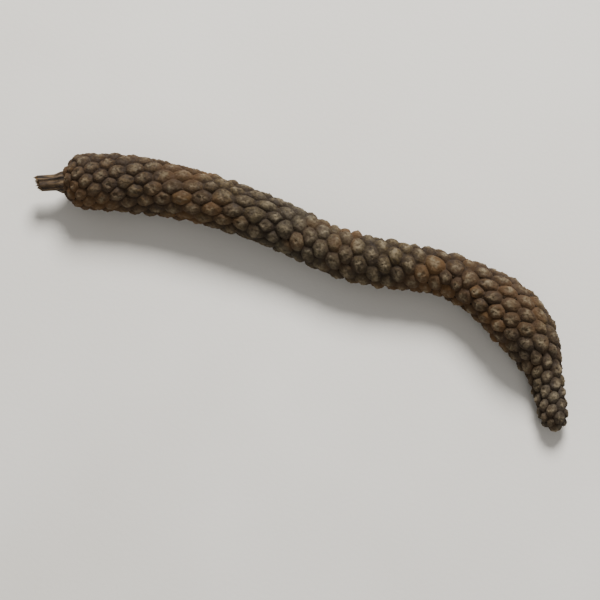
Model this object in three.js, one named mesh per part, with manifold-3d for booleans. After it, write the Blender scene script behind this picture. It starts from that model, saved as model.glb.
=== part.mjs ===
// A dried long pepper: the fruiting spike of a climbing pepper, which grew as one piece.
// Millimetres, +Z up. It lies on its side on the surface z = 0, with its length along X,
// its stalk at low X and its tip at high X. It bends aside towards its tip.
import * as THREE from 'three';
import Module from 'manifold-3d';
import { ConvexHull } from 'three/addons/math/ConvexHull.js';
import { mergeVertices } from 'three/addons/utils/BufferGeometryUtils.js';

// The centre line seen from above starts at the base and runs through these arcs,
// each given as its length and the degrees that it turns to the left.
const BASE_POINT = [-20.558, -3.6874];
const BASE_HEADING = 30;
const ARCS = [
  [9, -17],
  [12, -15],
  [4, 18],
  [4.5, 3],
  [5, -29],
  [5, -21],
  [3.2, -22],
  [4, -4],
];

// How thick the spike is under its fruitlets: distance along it, then radius.
const BODY_STATIONS = [
  [0, 1.95],
  [4, 2.1],
  [12, 1.94],
  [17, 1.82],
  [20.5, 1.68],
  [25, 1.76],
  [32, 1.72],
  [37.5, 2.16],
  [40.3, 1.8],
  [42.6, 1.22],
  [46.7, 0.98],
];
const BASE_ROUND = 1.6;
const TIP_ROUND = 1.2;

// A dried spike isn't quite round: its oval section turns along the length.
const OVAL = 0.035;
const OVAL_TURN_PER_MM = 0.16;

// It rests at its base, at its bend and at its tip, and arches a little between.
const LIFT_STATIONS = [
  [0, 0.12],
  [5, 0],
  [12, 0.2],
  [21, 0.38],
  [29, 0.2],
  [36, 0],
  [46.7, 0],
];
const PRESS = 0.12;

// Fruitlets follow one spiral. Each next one turns by the golden angle and takes its own
// area, which sets them in slanting rows, about ten round the girth. They are smaller
// towards both ends.
const GOLDEN_ANGLE = Math.PI * (3 - Math.sqrt(5));
const FRUITLET_PITCH = 1.28;
const SIZE_STATIONS = [
  [0, 0.78],
  [6, 1],
  [38, 1],
  [43, 0.8],
  [46.7, 0.72],
];
const BEAD_RISE = 0.18;
const VALLEY_DROP = 0.13;
// Each ring of a bead: its share of the way to the valleys, and its height over that way
// as a share of the rise.
const BEAD_RINGS = [
  [0.42, 1.34],
  [0.78, 1.12],
];
const PLACE_JITTER = 0.08;
const HEIGHT_JITTER = 0.25;
const SEED = 20611;

// The broken end of the stalk, from its root inside the base outwards: radius, then
// distance out of the base.
const STALK_LENGTH = 1.9;
const STALK_OUTLINE = [
  [0, -1.2],
  [0.85, -1.2],
  [0.85, 0.1],
  [0.6, 0.7],
  [0.64, STALK_LENGTH],
  [0, STALK_LENGTH],
];
const STALK_SIDES = 10;
const BREAK_SLANT = 0.35;

const SPIKE_LENGTH = ARCS.reduce((sum, [length]) => sum + length, 0);
const TABLE_STEPS = 4000;

// A value at a distance along the spike, smooth through its stations.
function through(stations, along) {
  let k = 0;
  while (k < stations.length - 2 && along > stations[k + 1][0]) {
    k += 1;
  }
  const slopeAt = (i) => {
    const before = stations[Math.max(i - 1, 0)];
    const after = stations[Math.min(i + 1, stations.length - 1)];
    return (after[1] - before[1]) / (after[0] - before[0]);
  };
  const [start, from] = stations[k];
  const [end, to] = stations[k + 1];
  const span = end - start;
  const t = THREE.MathUtils.clamp((along - start) / span, 0, 1);
  const blend = t * t * (3 - 2 * t);
  const startPull = t * (1 - t) * (1 - t) * span * slopeAt(k);
  const endPull = t * t * (1 - t) * span * slopeAt(k + 1);
  return from + (to - from) * blend + startPull - endPull;
}

// The body's radius, closed at both ends by quarter rounds.
function bodyRadius(along) {
  const fromBase = Math.min(along / BASE_ROUND, 1);
  const fromTip = Math.min((SPIKE_LENGTH - along) / TIP_ROUND, 1);
  const ends = fromBase * (2 - fromBase) * fromTip * (2 - fromTip);
  return through(BODY_STATIONS, along) * Math.sqrt(Math.max(ends, 0));
}

// The centre line's point, its heading and its sideways direction.
function centreLine(along) {
  let [x, y] = BASE_POINT;
  let heading = THREE.MathUtils.degToRad(BASE_HEADING);
  let toGo = along;
  for (const [length, degrees] of ARCS) {
    const step = THREE.MathUtils.clamp(toGo, 0, length);
    const bend = THREE.MathUtils.degToRad(degrees) / length;
    const turned = heading + bend * step;
    x += (Math.sin(turned) - Math.sin(heading)) / bend;
    y += (Math.cos(heading) - Math.cos(turned)) / bend;
    heading = turned;
    toGo -= step;
  }
  const z = through(BODY_STATIONS, along) + BEAD_RISE - PRESS + through(LIFT_STATIONS, along);
  return {
    point: new THREE.Vector3(x, y, z),
    ahead: new THREE.Vector3(Math.cos(heading), Math.sin(heading), 0),
    side: new THREE.Vector3(-Math.sin(heading), Math.cos(heading), 0),
  };
}

// A point on the body under the fruitlets, and the way out of the body there.
function onBody(along, angle) {
  const { point, ahead, side } = centreLine(along);
  const outwards = side.clone().multiplyScalar(Math.cos(angle));
  outwards.z = Math.sin(angle);
  const oval = 1 + OVAL * Math.cos(2 * (angle - OVAL_TURN_PER_MM * along));
  const step = 0.01;
  const before = Math.max(along - step, 0);
  const after = Math.min(along + step, SPIKE_LENGTH);
  const flare = (bodyRadius(after) - bodyRadius(before)) / (after - before);
  return {
    place: point.addScaledVector(outwards, bodyRadius(along) * oval),
    normal: outwards.clone().addScaledVector(ahead, -flare).normalize(),
  };
}

// Running totals from the base: the body's area, and the length on a tube of radius one
// that keeps every angle of the body's surface.
function measureBody() {
  const rows = [{ along: 0, area: 0, tube: 0 }];
  let radiusBefore = 0;
  for (let k = 1; k <= TABLE_STEPS; k += 1) {
    const along = (SPIKE_LENGTH * (1 - Math.cos((Math.PI * k) / TABLE_STEPS))) / 2;
    const radius = bodyRadius(along);
    const last = rows[k - 1];
    const slant = Math.hypot(along - last.along, radius - radiusBefore);
    const mean = (radius + radiusBefore) / 2;
    const size = through(SIZE_STATIONS, along);
    rows.push({
      along,
      area: last.area + (2 * Math.PI * mean * slant) / size ** 2,
      tube: last.tube + slant / mean,
    });
    radiusBefore = radius;
  }
  return rows;
}

// The value in one column of the table where another column has a given value.
function lookUp(rows, known, value, wanted) {
  let low = 0;
  let high = rows.length - 1;
  while (high - low > 1) {
    const middle = Math.floor((low + high) / 2);
    if (rows[middle][known] <= value) {
      low = middle;
    } else {
      high = middle;
    }
  }
  const share = (value - rows[low][known]) / (rows[high][known] - rows[low][known]);
  return rows[low][wanted] + share * (rows[high][wanted] - rows[low][wanted]);
}

function seededRandom(seed) {
  let state = seed;
  return () => {
    state = (Math.imul(state, 1664525) + 1013904223) >>> 0;
    return state / 2 ** 32;
  };
}

// The first site is the stalk's seat at the base, and each later one is a fruitlet, the
// last one right at the tip. The ball point of a site is its place on a ball that keeps
// the surface's angles.
function placeFruitlets() {
  const rows = measureBody();
  const total = rows[rows.length - 1].area;
  const cellArea = (FRUITLET_PITCH ** 2 * Math.sqrt(3)) / 2;
  const count = Math.round(total / cellArea);
  const middle = rows[TABLE_STEPS / 2].tube;
  const random = seededRandom(SEED);
  const spread = () => 2 * random() - 1;
  const seat = centreLine(0);
  const sites = [{
    place: seat.point,
    normal: seat.ahead.negate(),
    rise: 0,
    ball: new THREE.Vector3(0, 0, -1),
  }];
  for (let i = 1; i < count - 1; i += 1) {
    const even = lookUp(rows, 'area', ((i + 0.5) / count) * total, 'along');
    const size = through(SIZE_STATIONS, even);
    const jitter = PLACE_JITTER * FRUITLET_PITCH * size;
    const inside = Math.min(even, SPIKE_LENGTH - even) / FRUITLET_PITCH;
    const along = even + spread() * jitter * Math.min(inside, 1);
    const angle = i * GOLDEN_ANGLE + (spread() * jitter) / bodyRadius(even);
    const tube = lookUp(rows, 'along', along, 'tube') - middle;
    sites.push({
      ...onBody(along, angle),
      rise: BEAD_RISE * size * (1 + HEIGHT_JITTER * spread()),
      ball: new THREE.Vector3(
        Math.cos(angle) / Math.cosh(tube),
        Math.sin(angle) / Math.cosh(tube),
        Math.tanh(tube),
      ),
    });
  }
  const tip = centreLine(SPIKE_LENGTH);
  sites.push({
    place: tip.point,
    normal: tip.ahead,
    rise: BEAD_RISE * through(SIZE_STATIONS, SPIKE_LENGTH),
    ball: new THREE.Vector3(0, 0, 1),
  });
  return sites;
}

// Which three sites meet at each valley: the faces of the hull round the ball points.
function valleysBetween(sites) {
  const indexOf = new Map(sites.map((site, i) => [site.ball, i]));
  const hull = new ConvexHull().setFromPoints(sites.map((site) => site.ball));
  return hull.faces.map((face) => {
    const first = face.edge;
    return [first, first.next, first.next.next].map((edge) => indexOf.get(edge.head().point));
  });
}

// The valleys round one site in order.
function ringAround(site, valleys) {
  const after = new Map();
  valleys.forEach((trio, valley) => {
    const k = trio.indexOf(site);
    if (k >= 0) {
      after.set(trio[(k + 1) % 3], { valley, next: trio[(k + 2) % 3] });
    }
  });
  const ring = [];
  let neighbour = after.keys().next().value;
  while (ring.length < after.size) {
    const { valley, next } = after.get(neighbour);
    ring.push(valley);
    neighbour = next;
  }
  return ring;
}

// The spike's skin: each fruitlet has a top, its rings and a valley line that it shares
// with its neighbours. Where it lies on the surface it is pressed flat.
function fruitletSkin() {
  const sites = placeFruitlets();
  const valleys = valleysBetween(sites);
  const points = [];
  const triangles = [];
  const addPoint = (point) => {
    point.z = Math.max(point.z, 0);
    return points.push(point) - 1;
  };
  const bottoms = valleys.map((trio) => {
    const bottom = new THREE.Vector3();
    for (const i of trio) {
      bottom.addScaledVector(sites[i].place, 1 / 3);
      bottom.addScaledVector(sites[i].normal, -VALLEY_DROP / 3);
    }
    return bottom;
  });
  const bottomIds = bottoms.map(addPoint);
  sites.forEach(({ place, normal, rise }, i) => {
    const ring = ringAround(i, valleys);
    const top = addPoint(place.clone().addScaledVector(normal, rise));
    const rounds = BEAD_RINGS.map(([reach, height]) => ring.map((valley) => {
      const point = place.clone().lerp(bottoms[valley], reach);
      return addPoint(point.addScaledVector(normal, rise * height));
    }));
    rounds.push(ring.map((valley) => bottomIds[valley]));
    ring.forEach((_, k) => {
      const j = (k + 1) % ring.length;
      triangles.push(top, rounds[0][k], rounds[0][j]);
      for (let r = 1; r < rounds.length; r += 1) {
        triangles.push(rounds[r - 1][k], rounds[r][k], rounds[r][j]);
        triangles.push(rounds[r - 1][k], rounds[r][j], rounds[r - 1][j]);
      }
    });
  });
  const skin = new THREE.BufferGeometry().setFromPoints(points);
  skin.setIndex(triangles);
  return skin;
}

// The stalk's stub, with its foot sunk into the base and its end broken aslant.
function stalkSkin() {
  const outline = STALK_OUTLINE.map(([radius, outwards]) => new THREE.Vector2(radius, outwards));
  const stub = new THREE.LatheGeometry(outline, STALK_SIDES);
  const corners = stub.attributes.position;
  for (let i = 0; i < corners.count; i += 1) {
    const towardsEnd = Math.max(corners.getY(i) / STALK_LENGTH, 0);
    corners.setY(i, corners.getY(i) + BREAK_SLANT * towardsEnd * corners.getX(i));
  }
  const { point, ahead } = centreLine(0);
  const lengthwise = new THREE.Vector3(0, 1, 0);
  stub.applyQuaternion(new THREE.Quaternion().setFromUnitVectors(lengthwise, ahead.negate()));
  stub.translate(point.x, point.y, point.z);
  return stub;
}

const wasm = await Module();
wasm.setup();

// A closed skin as a solid, with the vertices that its triangles share merged.
function solidOf(skin) {
  skin.deleteAttribute('normal');
  skin.deleteAttribute('uv');
  const merged = mergeVertices(skin);
  return new wasm.Manifold(new wasm.Mesh({
    numProp: 3,
    vertProperties: new Float32Array(merged.attributes.position.array),
    triVerts: new Uint32Array(merged.index.array),
  }));
}

function longPepper() {
  const spike = solidOf(fruitletSkin()).add(solidOf(stalkSkin()));
  const { numProp, vertProperties, triVerts } = spike.getMesh();
  const geometry = new THREE.BufferGeometry();
  geometry.setAttribute('position', new THREE.Float32BufferAttribute(vertProperties, numProp));
  geometry.setIndex([...triVerts]);
  geometry.computeVertexNormals();
  const driedSkin = new THREE.MeshStandardMaterial({ color: '#56483a', roughness: 0.85, metalness: 0 });
  const mesh = new THREE.Mesh(geometry, driedSkin);
  mesh.name = 'long_pepper';
  return mesh;
}

const part = new THREE.Group();
part.add(longPepper());

export default part;
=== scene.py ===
# The looks of a dried long pepper, the fruiting spike of a climbing pepper. Metres, +Z up.
# Every fruitlet stands where the solid has it, because the same rules place both.
import math
from functools import partial

import bpy
import numpy as np
from mathutils import Matrix, Vector


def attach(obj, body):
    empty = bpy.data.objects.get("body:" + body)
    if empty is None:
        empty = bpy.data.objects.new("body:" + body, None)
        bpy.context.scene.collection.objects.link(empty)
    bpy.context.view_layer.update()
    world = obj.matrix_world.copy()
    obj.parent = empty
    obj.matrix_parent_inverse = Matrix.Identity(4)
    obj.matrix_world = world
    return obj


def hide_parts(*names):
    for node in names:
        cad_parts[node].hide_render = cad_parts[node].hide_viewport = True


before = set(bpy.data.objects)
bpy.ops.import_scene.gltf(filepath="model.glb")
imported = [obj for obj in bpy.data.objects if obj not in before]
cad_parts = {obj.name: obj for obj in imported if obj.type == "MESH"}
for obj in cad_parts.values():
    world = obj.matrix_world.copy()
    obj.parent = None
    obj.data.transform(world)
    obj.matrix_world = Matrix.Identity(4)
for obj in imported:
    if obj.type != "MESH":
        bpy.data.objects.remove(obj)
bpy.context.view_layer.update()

MM = 0.001

# The spike's own dimensions in mm, which are those of the solid. The centre line starts
# at the base and runs through arcs, each a length and the degrees that it turns left.
BASE_POINT = (-20.558, -3.6874)
BASE_HEADING = 30
ARCS = ((9, -17), (12, -15), (4, 18), (4.5, 3), (5, -29), (5, -21), (3.2, -22), (4, -4))
SPIKE_LENGTH = sum(length for length, _ in ARCS)

# The body's radius under the fruitlets at distances along it, the quarter rounds at its
# ends, and its oval section, which turns along the length.
BODY_STATIONS = (
    (0, 1.95),
    (4, 2.1),
    (12, 1.94),
    (17, 1.82),
    (20.5, 1.68),
    (25, 1.76),
    (32, 1.72),
    (37.5, 2.16),
    (40.3, 1.8),
    (42.6, 1.22),
    (46.7, 0.98),
)
BASE_ROUND = 1.6
TIP_ROUND = 1.2
OVAL = 0.035
OVAL_TURN_PER_MM = 0.16

# How far the body is lifted at distances along it, and how deep it is pressed flat where
# it rests.
LIFT_STATIONS = ((0, 0.12), (5, 0), (12, 0.2), (21, 0.38), (29, 0.2), (36, 0), (46.7, 0))
PRESS = 0.12

# The fruitlets' spiral, as in the solid: the turn from each to the next, their pitch and
# rise, their size at distances along the spike as a share of the full size, how far single
# ones stray as shares of the pitch and the rise, and the seed of their draws.
GOLDEN_ANGLE = math.pi * (3 - math.sqrt(5))
FRUITLET_PITCH = 1.28
BEAD_RISE = 0.18
SIZE_STATIONS = ((0, 0.78), (6, 1), (38, 1), (43, 0.8), (46.7, 0.72))
PLACE_JITTER = 0.08
HEIGHT_JITTER = 0.25
SEED = 20611

# How finely the body is measured along its length, and the step that its flare is
# measured over.
TABLE_STEPS = 4000
FLARE_STEP = 0.01

# The fine skin: each ring's share of the way from a fruitlet's top to its valley line,
# and how many steps that line has from one valley corner to the next.
RING_SHARES = (0.1, 0.22, 0.38, 0.54, 0.68, 0.79, 0.88, 0.945, 1.0)
STEPS_PER_SIDE = 4

# How far a stretched fruitlet's bead reaches, as a share of its mean reach, how sharply
# it is held to that, and the least radius in mm that a turn is measured on.
BEAD_FILL = 1.24
FILL_SHARPNESS = 8
LEAST_RADIUS = 0.4

# How the fruitlets stand out of the body, in mm.
BEAD_SIZES = {
    "Groove Depth": 0.07,
    "Groove Patch Width": 3.0,
    "Pit Depth": 0.15,
    "Dip Depth": 0.16,
    "Scar Height": 0.035,
    "Wrinkle Width": 0.55,
    "Wrinkle Depth": 0.07,
    "Grain Width": 0.22,
    "Grain Depth": 0.028,
}

# Their shape, which has no unit: the powers that round a bead and steepen its walls, how
# far down the dome the dip and the scar reach, the shares that a groove's depth varies
# between, and how far noise runs from its middle between a crest and the hollow beside it.
BEAD_SHAPE = {
    "Bead Fullness": 2.2,
    "Wall Steepness": 0.9,
    "Dip Reach": 0.75,
    "Scar Reach": 0.2,
    "Shallow Groove": 0.6,
    "Deep Groove": 1.35,
    "Crest To Hollow": 0.16,
}
NOISE_MIDDLE = 0.5
NOISE_SPAN = (0.3, 0.7)

# The least x, y and z in metres that the skin may have. Only the surface at z = 0 counts,
# because the other two lie far outside the pepper.
LEAST_PLACE = (-1.0, -1.0, 0.0)

# What each fruitlet draws for itself: this power makes most shrivel little and a few a
# lot. The valley lines between fruitlets have this tint. The radius is that of the
# straight spike that the streaks are drawn on.
SHRIVEL_POWER = 2.2
VALLEY_TINT = 0.5
STRAIGHT_RADIUS = 2

# The dry scale of a bract in mm, and its shape. Its lean is in radians.
BRACT_SIZES = {"Scale Radius": 0.13, "Scale Thickness": 0.07}
BRACT_SHAPE = {"Scale Taper": 0.6, "Greatest Lean": 0.35, "Least Size": 0.55, "Greatest Size": 1.2}
BRACT_SIDES = 7

# How deep below the body's surface a scale sits in mm, the share of the pits that hold
# one, the height above which they do, and the seeds of its lean and of its size.
BRACT_DEPTH = 0.13
BRACT_SHARE = 0.45
LEAST_BRACT_HEIGHT = 0.5
BRACT_LEAN_SEED = 3
BRACT_SIZE_SEED = 5

# The stub of the stalk in mm, which starts inside the base.
STALK_SIZES = {
    "Root": 1.2,
    "Length": 1.9,
    "Foot Radius": 0.85,
    "Neck Radius": 0.6,
    "Ridge Depth": 0.05,
    "Tear": 0.5,
    "Fibre Radius": 0.045,
    "Fibre Length": 0.24,
}

# Its shape, which has no unit: the slope of its break, the share of its length that it
# narrows over, how many ridges it has round it and how far they wander, and how wide the
# noise is that they wander by and that tears the break, on a tube of radius one.
STALK_SHAPE = {
    "Break Slant": 0.35,
    "Narrowing": 0.4,
    "Ridges": 9.0,
    "Ridge Wander": 5.0,
    "Wander Width": 0.7,
    "Tear Width": 0.35,
    "Fibre Taper": 0.3,
}

# The plain tube that the stub is shaped from, the share of its length past which a vertex
# is on the break, and the square of the radius that torn wood reaches out to there.
STALK_TUBE = {"Vertices": 42, "Side Segments": 22, "Fill Segments": 5, "Radius": 1.0, "Depth": 1.0}
BREAK_SHARE = 0.999
TORN_REACH = 0.9

# The torn fibres: how many stand on each square mm, how far they turn in radians, their
# size as a share of the plain one, and the seeds of their places, turns and sizes.
FIBRES_PER_MM2 = 90
FIBRE_SIDES = 5
LEAST_FIBRE_TURN = (-0.3, -0.3, -3.0)
GREATEST_FIBRE_TURN = (0.3, 0.3, 3.0)
LEAST_FIBRE_SIZE = (0.6, 0.6, 0.25)
GREATEST_FIBRE_SIZE = (1.5, 1.5, 1.4)
FIBRE_PLACE_SEED = 4
FIBRE_TURN_SEED = 6
FIBRE_SIZE_SEED = 7

# The fruitlets' colours, from the valleys up to the tops (painted shade, darkest in the
# valleys), from the base to the tip, and of the coats that lie over them.
VALLEY_TO_TOP_WITH_PAINTED_SHADE = ((0, "#2D2117"), (0.3, "#3C2D1F"), (0.6, "#463827"), (1, "#4E4231"))
BASE_TO_TIP = (
    (0, "#573F28"),
    (0.28, "#53442D"),
    (0.45, "#4A4738"),
    (0.6, "#52462F"),
    (0.75, "#60482A"),
    (1, "#4F4839"),
)
ZONE_SHARE = 0.65
STREAK = "#2C2116"
# This colour serves the real specks and also the painted shade in the creases' hollows.
SPECK_AND_CREASE_SHADE = "#241B13"
STAIN = "#2E241A"
RUSSET = "#573C20"
WORN_TOP = "#72654F"
MEAL = "#766B57"

# The heights in mm that the colours run between, on the beads and on the creases in them.
VALLEY_HEIGHT = -0.15
TOP_HEIGHT = 0.2
CREASE_HEIGHT = 0.06

# Spans that a measure is eased across: from its first two numbers to its last two.
HUE_BY_TINT = (0.0, 1.0, 0.487, 0.511)
VALUE_BY_TINT = (0.0, 1.0, 0.8, 1.25)
RUSSET_BY_TINT = (0.1, 0.9, 0.15, 0.6)
# Painted shade in the creases' hollows, strongest where they are deepest.
PAINTED_SHADE_BY_CREASE = (0.0, 0.7, 0.45, 0.0)
WEAR_BY_DOME = (0.2, 0.66, 1.0, 0.0)
WEAR_BY_LENGTH = (0.3, 0.6, 0.6, 1.0)
WEAR_BY_CREASE = (0.2, 0.7, 0.4, 1.0)
MEAL_BY_HEIGHT = (0.4, 1.0, 0.0, 1.0)

# Patches on the fruitlets: their width in mm, the span that their noise is eased across,
# and its detail. A streak also has its length in mm, and the grain its depth. Real specks,
# meal and grain are finer, and are drawn this coarse so that they show.
GREYING = {"width": 2.2, "span": (0.3, 0.7, 1.25, 0.8), "detail": 2.0}
STREAKS = {"width": 0.22, "span": (0.36, 0.64, 0.0, 0.4), "detail": 3.0}
SPECKS = {"width": 0.17, "span": (0.42, 0.62, 0.0, 0.5), "detail": 2.0}
STAINS = {"width": 1.3, "span": (0.5, 0.68, 0.0, 0.45), "detail": 3.0}
RUSSETING = {"width": 4.5, "span": (0.44, 0.62, 0.0, 1.0), "detail": 3.0}
WEAR = {"width": 0.35, "span": (0.36, 0.6, 0.15, 0.8), "detail": 4.0}
MEAL_DUST = {"width": 0.35, "span": (0.55, 0.7, 0.0, 0.4), "detail": 4.0}
ROUGHENING = {"width": 0.5, "span": (0.3, 0.7, 0.74, 0.96), "detail": 2.0}
STREAK_LENGTH = 1.4
GRAIN = {"width": 0.26, "depth": 0.1, "detail": 4.0}

# The bract scales' tones, and the width in mm of the noise that they follow.
BRACT_TONES = ((0.3, "#160F09"), (0.7, "#2C2116"))
BRACT_TONE_WIDTH = 0.9

# The stalk's bark and torn wood follow one grain: its width and relief in mm, how many
# times longer than wide it is, and the roughness that it is eased to.
BARK_TONES = ((0.36, "#1F170F"), (0.52, "#413324"), (0.68, "#5F4E38"))
WOOD_TONES = ((0.3, "#3A2A1A"), (0.7, "#7E6747"))
BARK_GRAIN = {"width": 0.2, "depth": 0.05, "detail": 4.0}
BARK_STRETCH = 5.0
BARK_ROUGHNESS = (0.3, 0.7, 0.75, 0.95)

# The board that it lies on: its width in metres, its tones and the roughness that they are
# eased to, and in mm the width of its clouds and the width and depth of its tooth.
BOARD_WIDTH = 2
BOARD_TONES = ((0.3, "#BDB8AF"), (0.7, "#C8C4BC"))
BOARD_ROUGHNESS = (0.3, 0.7, 0.62, 0.75)
BOARD_CLOUDS = {"width": 22, "detail": 3.0}
BOARD_TOOTH = {"width": 0.35, "depth": 0.01}

# The lights in metres and watts, and the camera: its lens in mm, its turn round from the
# front and its tilt up from the board in degrees, and the rest in metres.
KEY_LIGHT = {"place": (-0.065, 0.22, 0.23), "size": 0.14, "watts": 2.75}
FILL_LIGHT = {"place": (0.25, -0.25, 0.3), "size": 0.3, "watts": 0.6}
SKY_STRENGTH = 0.38
CAMERA_LENS = 100
CAMERA_TURN = 27
CAMERA_TILT = 70
CAMERA_DISTANCE = 0.128
CAMERA_TARGET = Vector((0.0005, -0.004, 0.002))
NEAREST_SEEN = 0.01


def through(stations, along):
    """A value at each distance along the spike, smooth through its stations."""
    at, value = np.array(stations, float).T
    slope = np.empty_like(value)
    slope[1:-1] = (value[2:] - value[:-2]) / (at[2:] - at[:-2])
    slope[0] = (value[1] - value[0]) / (at[1] - at[0])
    slope[-1] = (value[-1] - value[-2]) / (at[-1] - at[-2])
    k = np.clip(np.searchsorted(at, along) - 1, 0, len(at) - 2)
    span = at[k + 1] - at[k]
    t = np.clip((along - at[k]) / span, 0, 1)
    blend = t * t * (3 - 2 * t)
    start_pull = t * (1 - t) ** 2 * span * slope[k]
    end_pull = t * t * (1 - t) * span * slope[k + 1]
    return value[k] + (value[k + 1] - value[k]) * blend + start_pull - end_pull


def body_radius(along):
    """The body's radius under the fruitlets, closed at both ends by quarter rounds."""
    from_base = np.minimum(along / BASE_ROUND, 1)
    from_tip = np.minimum((SPIKE_LENGTH - along) / TIP_ROUND, 1)
    ends = from_base * (2 - from_base) * from_tip * (2 - from_tip)
    return through(BODY_STATIONS, along) * np.sqrt(np.maximum(ends, 0))


def centre_line(along):
    """The centre line's points, with its ways ahead and to the left."""
    x = np.full(along.shape, BASE_POINT[0])
    y = np.full(along.shape, BASE_POINT[1])
    heading = np.full(along.shape, math.radians(BASE_HEADING))
    to_go = along.copy()
    for length, degrees in ARCS:
        step = np.clip(to_go, 0, length)
        bend = math.radians(degrees) / length
        turned = heading + bend * step
        x += (np.sin(turned) - np.sin(heading)) / bend
        y += (np.cos(heading) - np.cos(turned)) / bend
        heading = turned
        to_go -= step
    z = through(BODY_STATIONS, along) + BEAD_RISE - PRESS + through(LIFT_STATIONS, along)
    level = np.zeros(along.shape)
    point = np.stack([x, y, z], axis=-1)
    ahead = np.stack([np.cos(heading), np.sin(heading), level], axis=-1)
    left = np.stack([-np.sin(heading), np.cos(heading), level], axis=-1)
    return point, ahead, left


def on_body(along, angle):
    """Points on the body under the fruitlets, and the ways out of the body there."""
    point, ahead, left = centre_line(along)
    outwards = left * np.cos(angle)[..., None]
    outwards[..., 2] = np.sin(angle)
    oval = 1 + OVAL * np.cos(2 * (angle - OVAL_TURN_PER_MM * along))
    before = np.maximum(along - FLARE_STEP, 0)
    after = np.minimum(along + FLARE_STEP, SPIKE_LENGTH)
    flare = (body_radius(after) - body_radius(before)) / (after - before)
    place = point + outwards * (body_radius(along) * oval)[..., None]
    normal = outwards - ahead * flare[..., None]
    normal /= np.linalg.norm(normal, axis=-1, keepdims=True)
    return place, normal


def measure_body():
    """Running totals along the spike: distance over its surface, area in fruitlets' own
    measure, and the length on a tube of radius one that keeps the surface's angles."""
    along = SPIKE_LENGTH * (1 - np.cos(np.pi * np.arange(TABLE_STEPS + 1) / TABLE_STEPS)) / 2
    radius = body_radius(along)
    radius[0] = 0
    slant = np.hypot(np.diff(along), np.diff(radius))
    mean = (radius[1:] + radius[:-1]) / 2
    size = through(SIZE_STATIONS, along[1:])
    totals = [slant, 2 * math.pi * mean * slant / size**2, slant / mean]
    over, area, tube = (np.concatenate([[0], np.cumsum(steps)]) for steps in totals)
    return {"along": along, "over": over, "area": area, "tube": tube}


def seeded_random(seed):
    """Even draws from 0 to 1, the same each run and the same as the solid's."""
    factor = 1664525
    step = 1013904223
    span = 2**32
    state = seed
    while True:
        state = (state * factor + step) % span
        yield state / span


def place_fruitlets(table):
    """Where each fruitlet sits. The first site is the stalk's seat and the last the tip.
    A site's ball point is its place on a ball that keeps the surface's angles."""
    total = table["area"][-1]
    cell_area = FRUITLET_PITCH**2 * math.sqrt(3) / 2
    count = round(total / cell_area)
    inner = np.arange(1, count - 1)
    draws = seeded_random(SEED)
    spread = np.array([[2 * next(draws) - 1 for _ in range(3)] for _ in inner])
    even = np.interp((inner + 0.5) / count * total, table["area"], table["along"])
    size = through(SIZE_STATIONS, even)
    jitter = PLACE_JITTER * FRUITLET_PITCH * size
    inside = np.minimum(np.minimum(even, SPIKE_LENGTH - even) / FRUITLET_PITCH, 1)
    along = even + spread[:, 0] * jitter * inside
    angle = inner * GOLDEN_ANGLE + spread[:, 1] * jitter / body_radius(even)
    rise = BEAD_RISE * size * (1 + HEIGHT_JITTER * spread[:, 2])
    tube = np.interp(along, table["along"], table["tube"]) - table["tube"][TABLE_STEPS // 2]
    ball = np.stack([np.cos(angle), np.sin(angle), np.sinh(tube)]).T / np.cosh(tube)[:, None]
    tip_rise = BEAD_RISE * through(SIZE_STATIONS, np.array([SPIKE_LENGTH]))[0]
    end_to_end = np.concatenate([[0], along, [SPIKE_LENGTH]])
    return {
        "along": end_to_end,
        "angle": np.concatenate([[0], angle, [0]]),
        "over": np.interp(end_to_end, table["along"], table["over"]),
        "rise": np.concatenate([[0], rise, [tip_rise]]),
        "ball": np.vstack([[0, 0, -1], ball, [0, 0, 1]]),
    }


def hull_faces(points):
    """The triangles of the hull round points on a ball, each in order seen from outside."""
    middle = len(points) // 2
    first = np.array([0, middle, middle + 1, len(points) - 1])
    faces = first[np.array([(0, 1, 2), (0, 2, 3), (0, 3, 1), (1, 3, 2)])]
    corners = points[faces]
    out = np.cross(corners[:, 1] - corners[:, 0], corners[:, 2] - corners[:, 0])
    inward = np.einsum("ij,ij->i", out, corners[:, 0] - points[first].mean(axis=0)) < 0
    faces[inward] = faces[inward][:, ::-1]
    for i in range(len(points)):
        if i in first:
            continue
        corners = points[faces]
        out = np.cross(corners[:, 1] - corners[:, 0], corners[:, 2] - corners[:, 0])
        seen = np.einsum("ij,ij->i", out, points[i] - corners[:, 0]) > 0
        edges = {(int(face[k]), int(face[(k + 1) % 3])) for face in faces[seen] for k in range(3)}
        rim = sorted(edge for edge in edges if edge[::-1] not in edges)
        faces = np.vstack([faces[~seen], [[a, b, i] for a, b in rim]])
    return faces


def wrapped(angle):
    """An angle brought to within half a turn of zero."""
    return (angle + np.pi) % (2 * np.pi) - np.pi


def valley_corners(sites, faces):
    """Where the valleys meet: the middle of each three sites, as angle and distance."""
    last = len(sites["along"]) - 1
    angles = []
    overs = []
    for face in faces:
        free = [i for i in face if i not in (0, last)]
        turns = wrapped(sites["angle"][free] - sites["angle"][free[0]])
        angles.append(sites["angle"][free[0]] + turns.mean())
        overs.append(sites["over"][face].mean())
    return np.array(angles), np.array(overs)


def rings_of_valleys(faces, count):
    """The valley corners round each site, in order."""
    after = [{} for _ in range(count)]
    for corner, face in enumerate(faces):
        for k in range(3):
            after[face[k]][int(face[(k + 1) % 3])] = (corner, int(face[(k + 2) % 3]))
    rings = []
    for around in after:
        neighbour = next(iter(around))
        ring = []
        while len(ring) < len(around):
            corner, neighbour = around[neighbour]
            ring.append(corner)
        rings.append(ring)
    return rings


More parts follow.
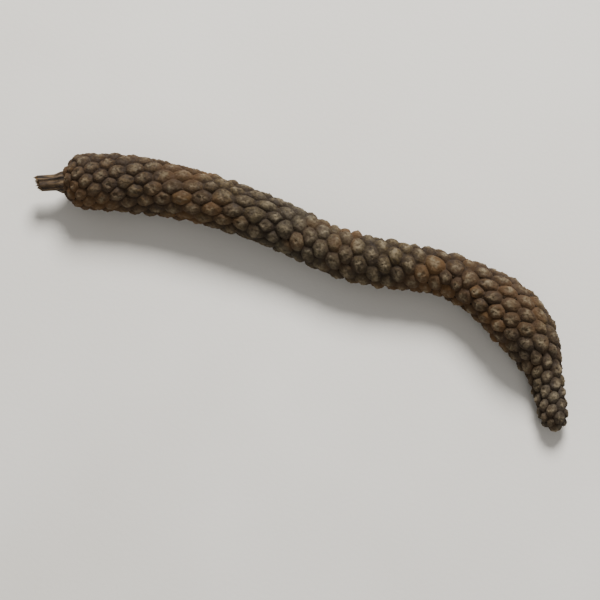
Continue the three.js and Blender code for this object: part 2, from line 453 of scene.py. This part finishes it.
def reach_of_cell(sites, site, border_angle, border_over):
    """The way from a site to each vertex of its border: the angle that it starts from, its
    turn, its climb, and its length as a share of the length that the bead reaches."""
    climb = border_over - sites["over"][site]
    if site in (0, len(sites["along"]) - 1):
        angle = border_angle
        turn = np.zeros(len(border_angle))
        reach = np.abs(climb)
    else:
        angle = np.full(len(border_angle), sites["angle"][site])
        turn = wrapped(border_angle - angle)
        reach = np.hypot(turn * max(body_radius(sites["along"][site]), LEAST_RADIUS), climb)
    fill = BEAD_FILL * reach.mean()
    bead = (reach**-FILL_SHARPNESS + fill**-FILL_SHARPNESS) ** (-1 / FILL_SHARPNESS)
    return angle, turn, climb, reach / bead


def skin_layout(sites):
    """The fine skin on the body, before the fruitlets are raised: each vertex's place on
    the surface, what the raising needs to know of it, and the faces. A vertex on a valley
    line has no site of its own, and its site is -1."""
    faces = hull_faces(sites["ball"])
    corner_angle, corner_over = valley_corners(sites, faces)
    table = {
        "angle": list(corner_angle),
        "over": list(corner_over),
        "dome": [1.0] * len(faces),
        "pit": [1.0] * len(faces),
        "site": [-1] * len(faces),
    }
    lines = {}
    polygons = []

    def add_vertex(**values):
        for name, value in values.items():
            table[name].append(value)
        return len(table["angle"]) - 1

    def line_between(a, b):
        """The valley's vertices from corner a up to corner b, shared by both sides."""
        low, high = min(a, b), max(a, b)
        if (low, high) not in lines:
            turn = wrapped(corner_angle[high] - corner_angle[low])
            climb = corner_over[high] - corner_over[low]
            lines[low, high] = [
                add_vertex(
                    angle=corner_angle[low] + turn * k / STEPS_PER_SIDE,
                    over=corner_over[low] + climb * k / STEPS_PER_SIDE,
                    dome=1.0,
                    pit=(2 * k / STEPS_PER_SIDE - 1) ** 2,
                    site=-1,
                )
                for k in range(1, STEPS_PER_SIDE)
            ]
        inner = lines[low, high]
        return [a, *(inner if a < b else inner[::-1])]

    for site, ring in enumerate(rings_of_valleys(faces, len(sites["along"]))):
        pairs = zip(ring, ring[1:] + ring[:1])
        border = [vertex for a, b in pairs for vertex in line_between(a, b)]
        border_angle = np.array([table["angle"][vertex] for vertex in border])
        border_over = np.array([table["over"][vertex] for vertex in border])
        pit = [table["pit"][vertex] for vertex in border]
        over = sites["over"][site]
        angle, turn, climb, dome = reach_of_cell(sites, site, border_angle, border_over)
        top = add_vertex(angle=float(angle[0]), over=over, dome=0.0, pit=0.0, site=site)
        inner = None
        for share in RING_SHARES:
            outer = border
            if share < 1:
                outer = [
                    add_vertex(
                        angle=angle[k] + share * turn[k],
                        over=over + share * climb[k],
                        dome=share * dome[k],
                        pit=share**2 * pit[k],
                        site=site,
                    )
                    for k in range(len(border))
                ]
            for k in range(len(border)):
                following = (k + 1) % len(border)
                if inner is None:
                    polygons.append((top, outer[k], outer[following]))
                else:
                    polygons.append((inner[k], outer[k], outer[following], inner[following]))
            inner = outer
    return {name: np.array(values) for name, values in table.items()}, polygons


def new_mesh(name, points, polygons):
    """An object at the origin with its place in its mesh."""
    mesh = bpy.data.meshes.new(name)
    mesh.from_pydata([tuple(point) for point in points], [], polygons)
    mesh.update()
    piece = bpy.data.objects.new(name, mesh)
    bpy.context.scene.collection.objects.link(piece)
    return piece


def store(piece, name, values, kind="FLOAT"):
    """An attribute of the piece's vertices."""
    attribute = piece.data.attributes.new(name, kind, "POINT")
    field = "vector" if kind == "FLOAT_VECTOR" else "value"
    attribute.data.foreach_set(field, np.asarray(values, np.float32).ravel())


# The kinds of node that are used most, and two settings. The mix node takes a share and
# two colours in its inputs 0, 6 and 7, and gives the colour as output 2. The random node
# takes two vectors in 0 and 1 and gives one as output 0, or two numbers in 2 and 3 and
# gives one as output 1.
MATH = "ShaderNodeMath"
VECTOR_MATH = "ShaderNodeVectorMath"
MAP_RANGE = "ShaderNodeMapRange"
NOISE = "ShaderNodeTexNoise"
RAMP = "ShaderNodeValToRGB"
MIX = "ShaderNodeMix"
MAPPING = "ShaderNodeMapping"
MARK = "ShaderNodeAttribute"
READ_MARK = "GeometryNodeInputNamedAttribute"
WRITE_MARK = "GeometryNodeStoreNamedAttribute"
PLACE = "GeometryNodeSetPosition"
CONE = "GeometryNodeMeshCone"
INSTANCES = "GeometryNodeInstanceOnPoints"
RANDOM = "FunctionNodeRandomValue"
EASED = {"interpolation_type": "SMOOTHSTEP"}
VECTORS = {"data_type": "FLOAT_VECTOR"}


def linear(colour):
    """An sRGB hex colour as the linear colour that shaders take."""
    parts = [int(colour[k : k + 2], 16) / 255 for k in (1, 3, 5)]
    return (*(c / 12.92 if c <= 0.04045 else ((c + 0.055) / 1.055) ** 2.4 for c in parts), 1.0)


def set_stops(elements, stops):
    """Gives a colour ramp its stops, each a position from 0 to 1 and a hex colour."""
    while len(elements) < len(stops):
        elements.new(1.0)
    for element, (position, colour) in zip(elements, stops):
        element.position = position
        element.color = linear(colour)


def connect(tree, node, inputs):
    """Links each input to the socket that it is given, or sets it to the value."""
    for name, value in inputs.items():
        if isinstance(value, bpy.types.NodeSocket):
            tree.links.new(value, node.inputs[name])
        else:
            node.inputs[name].default_value = value


def add_node(tree, kind, *inputs, out=0, **settings):
    """Adds a node with its settings and gives one of its outputs, or the node where out is
    None. Its inputs come in their own order, or in a dict by their names or numbers, and a
    colour ramp's stops come as a setting."""
    made = tree.nodes.new(kind)
    for name, value in settings.items():
        if name == "stops":
            set_stops(made.color_ramp.elements, value)
        else:
            setattr(made, name, value)
    by_name = inputs and isinstance(inputs[0], dict)
    connect(tree, made, inputs[0] if by_name else dict(enumerate(inputs)))
    return made if out is None else made.outputs[out]


def in_metres(sizes, shape):
    """A tree's inputs: its sizes brought from mm to metres, and its shape as it is."""
    return {name: size * MM for name, size in sizes.items()} | shape


def new_tree(name, sizes):
    """An empty geometry tree whose named inputs are the given sizes and a material. Gives
    the tree, the way to add nodes to it, and its inputs."""
    tree = bpy.data.node_groups.new(name, "GeometryNodeTree")
    tree.interface.new_socket("Geometry", in_out="INPUT", socket_type="NodeSocketGeometry")
    for label, size in sizes.items():
        socket = tree.interface.new_socket(label, in_out="INPUT", socket_type="NodeSocketFloat")
        socket.default_value = size
    tree.interface.new_socket("Material", in_out="INPUT", socket_type="NodeSocketMaterial")
    tree.interface.new_socket("Geometry", in_out="OUTPUT", socket_type="NodeSocketGeometry")
    add = partial(add_node, tree)
    return tree, add, add("NodeGroupInput", out=None).outputs


def close_tree(add, given, geometry):
    """The tree's end: real faces with their material."""
    real = add("GeometryNodeRealizeInstances", geometry)
    dressed = add("GeometryNodeSetMaterial", {"Geometry": real, "Material": given["Material"]})
    add("NodeGroupOutput", dressed, out=None)


def grow(piece, tree, sizes, material):
    """The piece's mesh as the tree makes it, with nothing left live on it."""
    modifier = piece.modifiers.new("grow", "NODES")
    modifier.node_group = tree
    for item in tree.interface.items_tree:
        if item.in_out == "INPUT" and item.name in sizes:
            modifier[item.identifier] = sizes[item.name]
        if item.in_out == "INPUT" and item.name == "Material":
            modifier[item.identifier] = material
    evaluated = piece.evaluated_get(bpy.context.evaluated_depsgraph_get())
    grown = bpy.data.meshes.new_from_object(evaluated)
    piece.modifiers.remove(modifier)
    piece.data = grown
    grown.name = piece.name
    return piece


def creases_of(add, given, where):
    """Sharp crests with hollows between them, in coarse wrinkles and in a fine grain."""
    folds = []
    for name in ("Wrinkle", "Grain"):
        scale = add(MATH, 1.0, given[f"{name} Width"], operation="DIVIDE")
        noise = add(NOISE, {"Vector": where, "Scale": scale})
        away = add(MATH, add(MATH, noise, NOISE_MIDDLE, operation="SUBTRACT"), operation="ABSOLUTE")
        crest = given[f"{name} Depth"]
        hollow = add(MATH, crest, -1.0, operation="MULTIPLY")
        folds.append(add(MAP_RANGE, away, 0.0, given["Crest To Hollow"], crest, hollow))
    return add(MATH, *folds, operation="ADD")


def raise_fruitlets(sizes):
    """The tree that lifts each fruitlet from the flat skin as a rounded, shrivelled bead
    with a scar on top, sinks the valleys between them, and presses flat what would go below
    the surface that the spike lies on."""
    tree, add, given = new_tree("raise fruitlets", sizes)
    where = add("GeometryNodeInputPosition")
    scale = add(MATH, 1.0, given["Groove Patch Width"], operation="DIVIDE")
    groove_patches = add(NOISE, {"Vector": where, "Scale": scale})
    extra = add(MATH, given["Pit Depth"], given["Groove Depth"], operation="SUBTRACT")
    even_floor = add(MATH, extra, add(READ_MARK, "pit"), given["Groove Depth"], operation="MULTIPLY_ADD")
    shares = (given["Shallow Groove"], given["Deep Groove"])
    share = add(MAP_RANGE, groove_patches, *NOISE_SPAN, *shares, **EASED)
    floor = add(MATH, even_floor, share, operation="MULTIPLY")

    dome = add(READ_MARK, "dome")
    down = add(MATH, dome, given["Bead Fullness"], operation="POWER")
    inside = add(MATH, add(MATH, 1.0, down, operation="SUBTRACT"), 0.0, operation="MAXIMUM")
    shape = add(MATH, inside, given["Wall Steepness"], operation="POWER")
    reach = add(MATH, add(READ_MARK, "rise"), floor, operation="ADD")
    sunk = add(MATH, floor, -1.0, operation="MULTIPLY")
    bead = add(MATH, reach, shape, sunk, operation="MULTIPLY_ADD")

    hollow = add(MAP_RANGE, dome, 0.0, given["Dip Reach"], given["Dip Depth"], 0.0, **EASED)
    dip = add(MATH, hollow, add(READ_MARK, "shrivel"), operation="MULTIPLY")
    scar = add(MAP_RANGE, dome, 0.0, given["Scar Reach"], given["Scar Height"], 0.0, **EASED)
    scarred = add(MATH, add(MATH, bead, dip, operation="SUBTRACT"), scar, operation="ADD")
    creases = creases_of(add, given, where)
    height = add(MATH, creases, shape, scarred, operation="MULTIPLY_ADD")

    creased = add(WRITE_MARK, {"Geometry": given["Geometry"], "Name": "crease", "Value": creases})
    marked = add(WRITE_MARK, {"Geometry": creased, "Name": "height", "Value": height})
    outward = add(READ_MARK, "outward", **VECTORS)
    offset = add(VECTOR_MATH, {0: outward, "Scale": height}, operation="SCALE")
    raised = add(PLACE, {"Geometry": marked, "Offset": offset})
    higher = add(VECTOR_MATH, where, LEAST_PLACE, operation="MAXIMUM")
    laid = add(PLACE, {"Geometry": raised, "Position": higher})
    close_tree(add, given, add("GeometryNodeSetShadeSmooth", laid))
    return tree


def scatter_bracts(sizes):
    """The tree that sets the dry scale of a bract in each pit it is given."""
    tree, add, given = new_tree("scatter bracts", sizes)
    cone = {
        "Vertices": BRACT_SIDES,
        "Radius Top": add(MATH, given["Scale Radius"], given["Scale Taper"], operation="MULTIPLY"),
        "Radius Bottom": given["Scale Radius"],
        "Depth": given["Scale Thickness"],
    }
    scale = add(CONE, cone, fill_type="NGON")
    outward = add(READ_MARK, "outward", **VECTORS)
    upright = add("FunctionNodeAlignRotationToVector", {"Vector": outward}, axis="Z")
    lean = given["Greatest Lean"]
    most = add("ShaderNodeCombineXYZ", lean, lean, math.pi)
    least = add(VECTOR_MATH, {0: most, "Scale": -1.0}, operation="SCALE")
    tilt = add(RANDOM, {0: least, 1: most, "Seed": BRACT_LEAN_SEED}, **VECTORS)
    turn = add("FunctionNodeEulerToRotation", tilt)
    sizes_drawn = {2: given["Least Size"], 3: given["Greatest Size"], "Seed": BRACT_SIZE_SEED}
    scales = {
        "Points": given["Geometry"],
        "Instance": scale,
        "Rotation": add("FunctionNodeRotateRotation", upright, turn, rotation_space="LOCAL"),
        "Scale": add(RANDOM, sizes_drawn, out=1),
    }
    close_tree(add, given, add(INSTANCES, scales))
    return tree


def stub_surface(add, given, where):
    """Where the plain tube's vertices go on the stub, and which of them are torn wood."""
    place = add("ShaderNodeSeparateXYZ", where, out=None).outputs
    widths = (given["Wander Width"], given["Tear Width"])
    scales = (add(MATH, 1.0, width, operation="DIVIDE") for width in widths)
    wander, tears = (add(NOISE, {"Vector": where, "Scale": scale}) for scale in scales)
    share = add(MATH, place["Z"], STALK_TUBE["Depth"] / 2, operation="ADD")
    whole = add(MATH, given["Root"], given["Length"], operation="ADD")
    start = add(MATH, given["Root"], -1.0, operation="MULTIPLY")
    along = add(MATH, share, whole, start, operation="MULTIPLY_ADD")

    narrow = add(MATH, given["Length"], given["Narrowing"], operation="MULTIPLY")
    radius = add(MAP_RANGE, along, 0.0, narrow, given["Foot Radius"], given["Neck Radius"], **EASED)
    angle = add(MATH, place["Y"], place["X"], operation="ARCTAN2")
    drift = add(MATH, wander, given["Ridge Wander"], operation="MULTIPLY")
    waves = add(MATH, angle, given["Ridges"], drift, operation="MULTIPLY_ADD")
    ridges = add(MATH, waves, operation="SINE")
    ridged = add(MATH, ridges, given["Ridge Depth"], radius, operation="MULTIPLY_ADD")
    x, y = (add(MATH, place[axis], ridged, operation="MULTIPLY") for axis in "XY")

    uneven = add(MATH, tears, NOISE_MIDDLE, operation="SUBTRACT")
    torn_rim = add(MATH, uneven, given["Tear"], operation="MULTIPLY")
    slanted = add(MATH, x, given["Break Slant"], torn_rim, operation="MULTIPLY_ADD")
    near_end = add(MAP_RANGE, along, 0.0, given["Length"], **EASED)
    z = add(MATH, slanted, near_end, along, operation="MULTIPLY_ADD")

    on_break = add(MATH, share, BREAK_SHARE, operation="GREATER_THAN")
    squares = (add(MATH, place[axis], 2.0, operation="POWER") for axis in "XY")
    inner = add(MATH, add(MATH, *squares, operation="ADD"), TORN_REACH, operation="LESS_THAN")
    return add("ShaderNodeCombineXYZ", x, y, z), add(MATH, on_break, inner, operation="MULTIPLY")


def torn_fibres(add, given, stub):
    """Stiff fibres that stand on the torn wood."""
    spots = {
        "Mesh": stub,
        "Selection": add(READ_MARK, "torn"),
        "Density": given["Fibres Per Area"],
        "Seed": FIBRE_PLACE_SEED,
    }
    cone = {
        "Vertices": FIBRE_SIDES,
        "Radius Top": add(MATH, given["Fibre Radius"], given["Fibre Taper"], operation="MULTIPLY"),
        "Radius Bottom": given["Fibre Radius"],
        "Depth": given["Fibre Length"],
    }
    turns = {0: LEAST_FIBRE_TURN, 1: GREATEST_FIBRE_TURN, "Seed": FIBRE_TURN_SEED}
    sizes = {0: LEAST_FIBRE_SIZE, 1: GREATEST_FIBRE_SIZE, "Seed": FIBRE_SIZE_SEED}
    fibres = {
        "Points": add("GeometryNodeDistributePointsOnFaces", spots),
        "Instance": add(CONE, cone, fill_type="TRIANGLE_FAN"),
        "Rotation": add("FunctionNodeEulerToRotation", add(RANDOM, turns, **VECTORS)),
        "Scale": add(RANDOM, sizes, **VECTORS),
    }
    real = add("GeometryNodeRealizeInstances", add(INSTANCES, fibres))
    return add(WRITE_MARK, {"Geometry": real, "Name": "torn", "Value": 1.0})


def break_stalk(sizes):
    """The tree that makes the stalk's stub as a tube up the Z axis, ridged along its length
    and broken aslant, with torn fibres standing on the break."""
    tree, add, given = new_tree("break stalk", sizes)
    tube = add("GeometryNodeMeshCylinder", STALK_TUBE, fill_type="TRIANGLE_FAN")
    moved, torn = stub_surface(add, given, add("GeometryNodeInputPosition"))
    marked = add(WRITE_MARK, {"Geometry": tube, "Name": "torn", "Value": torn})
    stub = add(PLACE, {"Geometry": marked, "Position": moved})
    both = add("GeometryNodeJoinGeometry", stub)
    tree.links.new(torn_fibres(add, given, stub), both.node.inputs[0])
    close_tree(add, given, both)
    return tree


def body_layout():
    """The sites, the fine skin's layout and faces, and each vertex's place on the body and
    its way out."""
    table = measure_body()
    sites = place_fruitlets(table)
    layout, polygons = skin_layout(sites)
    along = np.interp(layout["over"], table["over"], table["along"])
    place, normal = on_body(along, layout["angle"])
    return sites, layout, polygons, place, normal


def fruitlet_skin(body, material):
    """The spike's skin with every fruitlet raised. A vertex on a valley line has site -1,
    so it reads the value that is appended after the sites' own."""
    sites, layout, polygons, place, normal = body
    skin = new_mesh("fruitlet_skin", place * MM, polygons)
    draws = np.random.default_rng(SEED)
    count = len(sites["along"])
    tint = np.append(draws.random(count), VALLEY_TINT)
    shrivel = np.append(draws.random(count) ** SHRIVEL_POWER, 0)
    rise = np.append(sites["rise"], 0)
    across = STRAIGHT_RADIUS * np.cos(layout["angle"])
    up = STRAIGHT_RADIUS * np.sin(layout["angle"])
    straight = np.stack([layout["over"], across, up], axis=1)
    store(skin, "outward", normal, "FLOAT_VECTOR")
    store(skin, "straight", straight * MM, "FLOAT_VECTOR")
    store(skin, "dome", layout["dome"])
    store(skin, "pit", layout["pit"])
    store(skin, "rise", rise[layout["site"]] * MM)
    store(skin, "tint", tint[layout["site"]])
    store(skin, "shrivel", shrivel[layout["site"]])
    sizes = in_metres(BEAD_SIZES, BEAD_SHAPE)
    return grow(skin, raise_fruitlets(sizes), sizes, material)


def bract_scales(body, material):
    """Dry bract scales in some of the pits where three fruitlets meet."""
    _, layout, _, place, normal = body
    corners = np.flatnonzero((layout["site"] < 0) & (layout["pit"] == 1.0))
    kept = np.random.default_rng(SEED).random(len(corners)) < BRACT_SHARE
    kept &= place[corners, 2] > LEAST_BRACT_HEIGHT
    chosen = corners[kept]
    seats = new_mesh("bract_scales", (place[chosen] - BRACT_DEPTH * normal[chosen]) * MM, [])
    store(seats, "outward", normal[chosen], "FLOAT_VECTOR")
    sizes = in_metres(BRACT_SIZES, BRACT_SHAPE)
    return grow(seats, scatter_bracts(sizes), sizes, material)


def stalk_stub(material):
    """The stub of the stalk that the spike was picked by."""
    stub = new_mesh("stalk_stub", [], [])
    sizes = in_metres(STALK_SIZES, STALK_SHAPE)
    sizes["Fibres Per Area"] = FIBRES_PER_MM2 / MM**2
    grow(stub, break_stalk(sizes), sizes, material)
    point, ahead, left = (values[0] for values in centre_line(np.zeros(1)))
    down = np.array([0, 0, -1])
    turned = Matrix(np.stack([left, down, -ahead], axis=1).tolist()).to_4x4()
    stub.data.transform(Matrix.Translation(Vector(point * MM)) @ turned)
    return stub


def new_material(name):
    """A material with its plain shader. Gives it, the way to add nodes to it, and the
    coordinates that its patterns read."""
    material = bpy.data.materials.new(name)
    material.use_nodes = True
    add = partial(add_node, material.node_tree)
    return material, add, add("ShaderNodeTexCoord", out="Object")


def finished(material, inputs):
    """The material once its shader has its inputs."""
    tree = material.node_tree
    connect(tree, tree.nodes["Principled BSDF"], inputs)
    return material


def patches(add, where, width, span, detail):
    """A share that varies in patches of a given width in mm, eased across a span."""
    noise = add(NOISE, {"Vector": where, "Scale": 1 / (width * MM), "Detail": detail})
    return add(MAP_RANGE, noise, *span, **EASED)


def limited(add, share, *limits):
    """A share brought down by limits, each a measure and the span that it is eased across."""
    for measure, span in limits:
        limit = add(MAP_RANGE, measure, *span, **EASED)
        share = add(MATH, share, limit, operation="MULTIPLY")
    return share


def own_shades(add, where, tint, height, along):
    """Each fruitlet's own shade, darker in its valleys by painted shade, in hues that change
    along the spike."""
    shades = {
        "Hue": add(MAP_RANGE, tint, *HUE_BY_TINT, **EASED),
        "Saturation": patches(add, where, **GREYING),
        "Value": add(MAP_RANGE, tint, *VALUE_BY_TINT, **EASED),
        # Painted shade: the lower the skin lies towards a valley, the darker its colour.
        "Color": add(RAMP, height, stops=VALLEY_TO_TOP_WITH_PAINTED_SHADE),
    }
    varied = add("ShaderNodeHueSaturation", shades)
    zones = add(RAMP, along, stops=BASE_TO_TIP)
    colours = {0: ZONE_SHARE, 6: varied, 7: zones}
    return add(MIX, colours, out=2, data_type="RGBA", blend_type="COLOR")


def dried_pericarp():
    """Sun-dried fruitlets: dull brown sides that are warmer in the valleys and darker there by
    painted shade, with painted shade in the hollows of their creases, tops worn to a greyer
    tan and dusted with meal, each fruitlet its own shade."""
    material, add, where = new_material("sun-dried pericarp")
    names = ("height", "crease", "tint", "dome")
    heights, creases, tint, dome = (add(MARK, out="Fac", attribute_name=name) for name in names)
    height = add(MAP_RANGE, heights, VALLEY_HEIGHT * MM, TOP_HEIGHT * MM, **EASED)
    crease = add(MAP_RANGE, creases, -CREASE_HEIGHT * MM, CREASE_HEIGHT * MM, **EASED)
    straight = add(MARK, out="Vector", attribute_name="straight")
    over = add("ShaderNodeSeparateXYZ", straight)
    along = add(MATH, over, SPIKE_LENGTH * MM, operation="DIVIDE")
    shortened = (STREAKS["width"] / STREAK_LENGTH, 1.0, 1.0)
    stretched = add(MAPPING, {"Vector": straight, "Scale": shortened})

    wear_limits = ((dome, WEAR_BY_DOME), (along, WEAR_BY_LENGTH), (crease, WEAR_BY_CREASE))
    coats = (
        (patches(add, stretched, **STREAKS), STREAK),
        # Painted shade in the hollows of the creases, in the specks' colour.
        (add(MAP_RANGE, crease, *PAINTED_SHADE_BY_CREASE, **EASED), SPECK_AND_CREASE_SHADE),
        (patches(add, where, **SPECKS), SPECK_AND_CREASE_SHADE),
        (patches(add, where, **STAINS), STAIN),
        (limited(add, patches(add, where, **RUSSETING), (tint, RUSSET_BY_TINT)), RUSSET),
        (limited(add, patches(add, where, **WEAR), *wear_limits), WORN_TOP),
        (limited(add, patches(add, where, **MEAL_DUST), (height, MEAL_BY_HEIGHT)), MEAL),
    )
    colour = own_shades(add, where, tint, height, along)
    for share, coat in coats:
        colour = add(MIX, {0: share, 6: colour, 7: linear(coat)}, out=2, data_type="RGBA")
    grain_scale = 1 / (GRAIN["width"] * MM)
    grain = add(NOISE, {"Vector": where, "Scale": grain_scale, "Detail": GRAIN["detail"]})
    look = {
        "Base Color": colour,
        "Roughness": patches(add, where, **ROUGHENING),
        "Diffuse Roughness": 0.6,
        "Specular IOR Level": 0.2,
        "Normal": add("ShaderNodeBump", {"Height": grain, "Distance": GRAIN["depth"] * MM}),
    }
    return finished(material, look)


def dry_bract():
    """Brittle bract scales: thinner and darker than the fruitlets, and dull."""
    material, add, where = new_material("brittle bract scale")
    noise = add(NOISE, {"Vector": where, "Scale": 1 / (BRACT_TONE_WIDTH * MM)})
    look = {
        "Base Color": add(RAMP, noise, stops=BRACT_TONES),
        "Roughness": 0.95,
        "Specular IOR Level": 0.1,
    }
    return finished(material, look)


def weathered_stalk():
    """Weathered stalk bark, grey-brown with dark furrows along it, and paler wood where it
    broke."""
    material, add, where = new_material("weathered stalk bark and torn wood")
    lengthwise = {
        "Vector": where,
        "Rotation": (0.0, 0.0, math.radians(BASE_HEADING)),
        "Scale": (BARK_STRETCH, 1.0, 1.0),
    }
    stretched = add(MAPPING, lengthwise, vector_type="TEXTURE")
    grain_scale = 1 / (BARK_GRAIN["width"] * MM)
    grain = add(NOISE, {"Vector": stretched, "Scale": grain_scale, "Detail": BARK_GRAIN["detail"]})
    bark = add(RAMP, grain, stops=BARK_TONES)
    wood = add(RAMP, grain, stops=WOOD_TONES)
    torn = add(MARK, out="Fac", attribute_name="torn")
    look = {
        "Base Color": add(MIX, {0: torn, 6: bark, 7: wood}, out=2, data_type="RGBA"),
        "Roughness": add(MAP_RANGE, grain, *BARK_ROUGHNESS, **EASED),
        "Specular IOR Level": 0.25,
        "Normal": add("ShaderNodeBump", {"Height": grain, "Distance": BARK_GRAIN["depth"] * MM}),
    }
    return finished(material, look)


def pale_board():
    """Matt pale board under the object, with a faint even tooth."""
    material, add, where = new_material("matt pale board")
    cloud_scale = 1 / (BOARD_CLOUDS["width"] * MM)
    clouds = add(NOISE, {"Vector": where, "Scale": cloud_scale, "Detail": BOARD_CLOUDS["detail"]})
    tooth = add(NOISE, {"Vector": where, "Scale": 1 / (BOARD_TOOTH["width"] * MM)})
    look = {
        "Base Color": add(RAMP, clouds, stops=BOARD_TONES),
        "Roughness": add(MAP_RANGE, clouds, *BOARD_ROUGHNESS, **EASED),
        "Normal": add("ShaderNodeBump", {"Height": tooth, "Distance": BOARD_TOOTH["depth"] * MM}),
    }
    return finished(material, look)


def stage(material):
    """The plain board that the pepper lies on."""
    half = BOARD_WIDTH / 2
    corners = [(-half, -half, 0), (half, -half, 0), (half, half, 0), (-half, half, 0)]
    floor = new_mesh("floor", corners, [(0, 1, 2, 3)])
    floor.data.materials.append(material)


def soft_light(name, place, size, watts):
    """A large soft light that faces the object."""
    light = bpy.data.lights.new(name, "AREA")
    light.shape = "DISK"
    light.size = size
    light.energy = watts
    lamp = bpy.data.objects.new(name, light)
    bpy.context.scene.collection.objects.link(lamp)
    lamp.location = place
    lamp.rotation_euler = (-Vector(place)).to_track_quat("-Z", "Y").to_euler()


def sky():
    """An even white sky."""
    world = bpy.data.worlds.new("sky")
    world.use_nodes = True
    background = world.node_tree.nodes["Background"]
    background.inputs["Color"].default_value = (1, 1, 1, 1)
    background.inputs["Strength"].default_value = SKY_STRENGTH
    bpy.context.scene.world = world


def camera():
    """A camera that looks down on the spike, with its tip towards the lower right."""
    view = bpy.data.cameras.new("camera")
    view.lens = CAMERA_LENS
    view.clip_start = NEAREST_SEEN
    eye = bpy.data.objects.new("camera", view)
    bpy.context.scene.collection.objects.link(eye)
    turn = math.radians(CAMERA_TURN)
    tilt = math.radians(CAMERA_TILT)
    level = Vector((math.sin(turn), -math.cos(turn), 0)) * math.cos(tilt)
    back = level + Vector((0, 0, math.sin(tilt)))
    eye.location = CAMERA_TARGET + back * CAMERA_DISTANCE
    eye.rotation_euler = (-back).to_track_quat("-Z", "Y").to_euler()
    bpy.context.scene.camera = eye


camera()
stage(pale_board())
soft_light("key", **KEY_LIGHT)
soft_light("fill", **FILL_LIGHT)
sky()

body = body_layout()
skin = fruitlet_skin(body, dried_pericarp())
bracts = bract_scales(body, dry_bract())
stub = stalk_stub(weathered_stalk())
for piece in (skin, bracts, stub):
    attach(piece, "root")
    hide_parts("long_pepper")
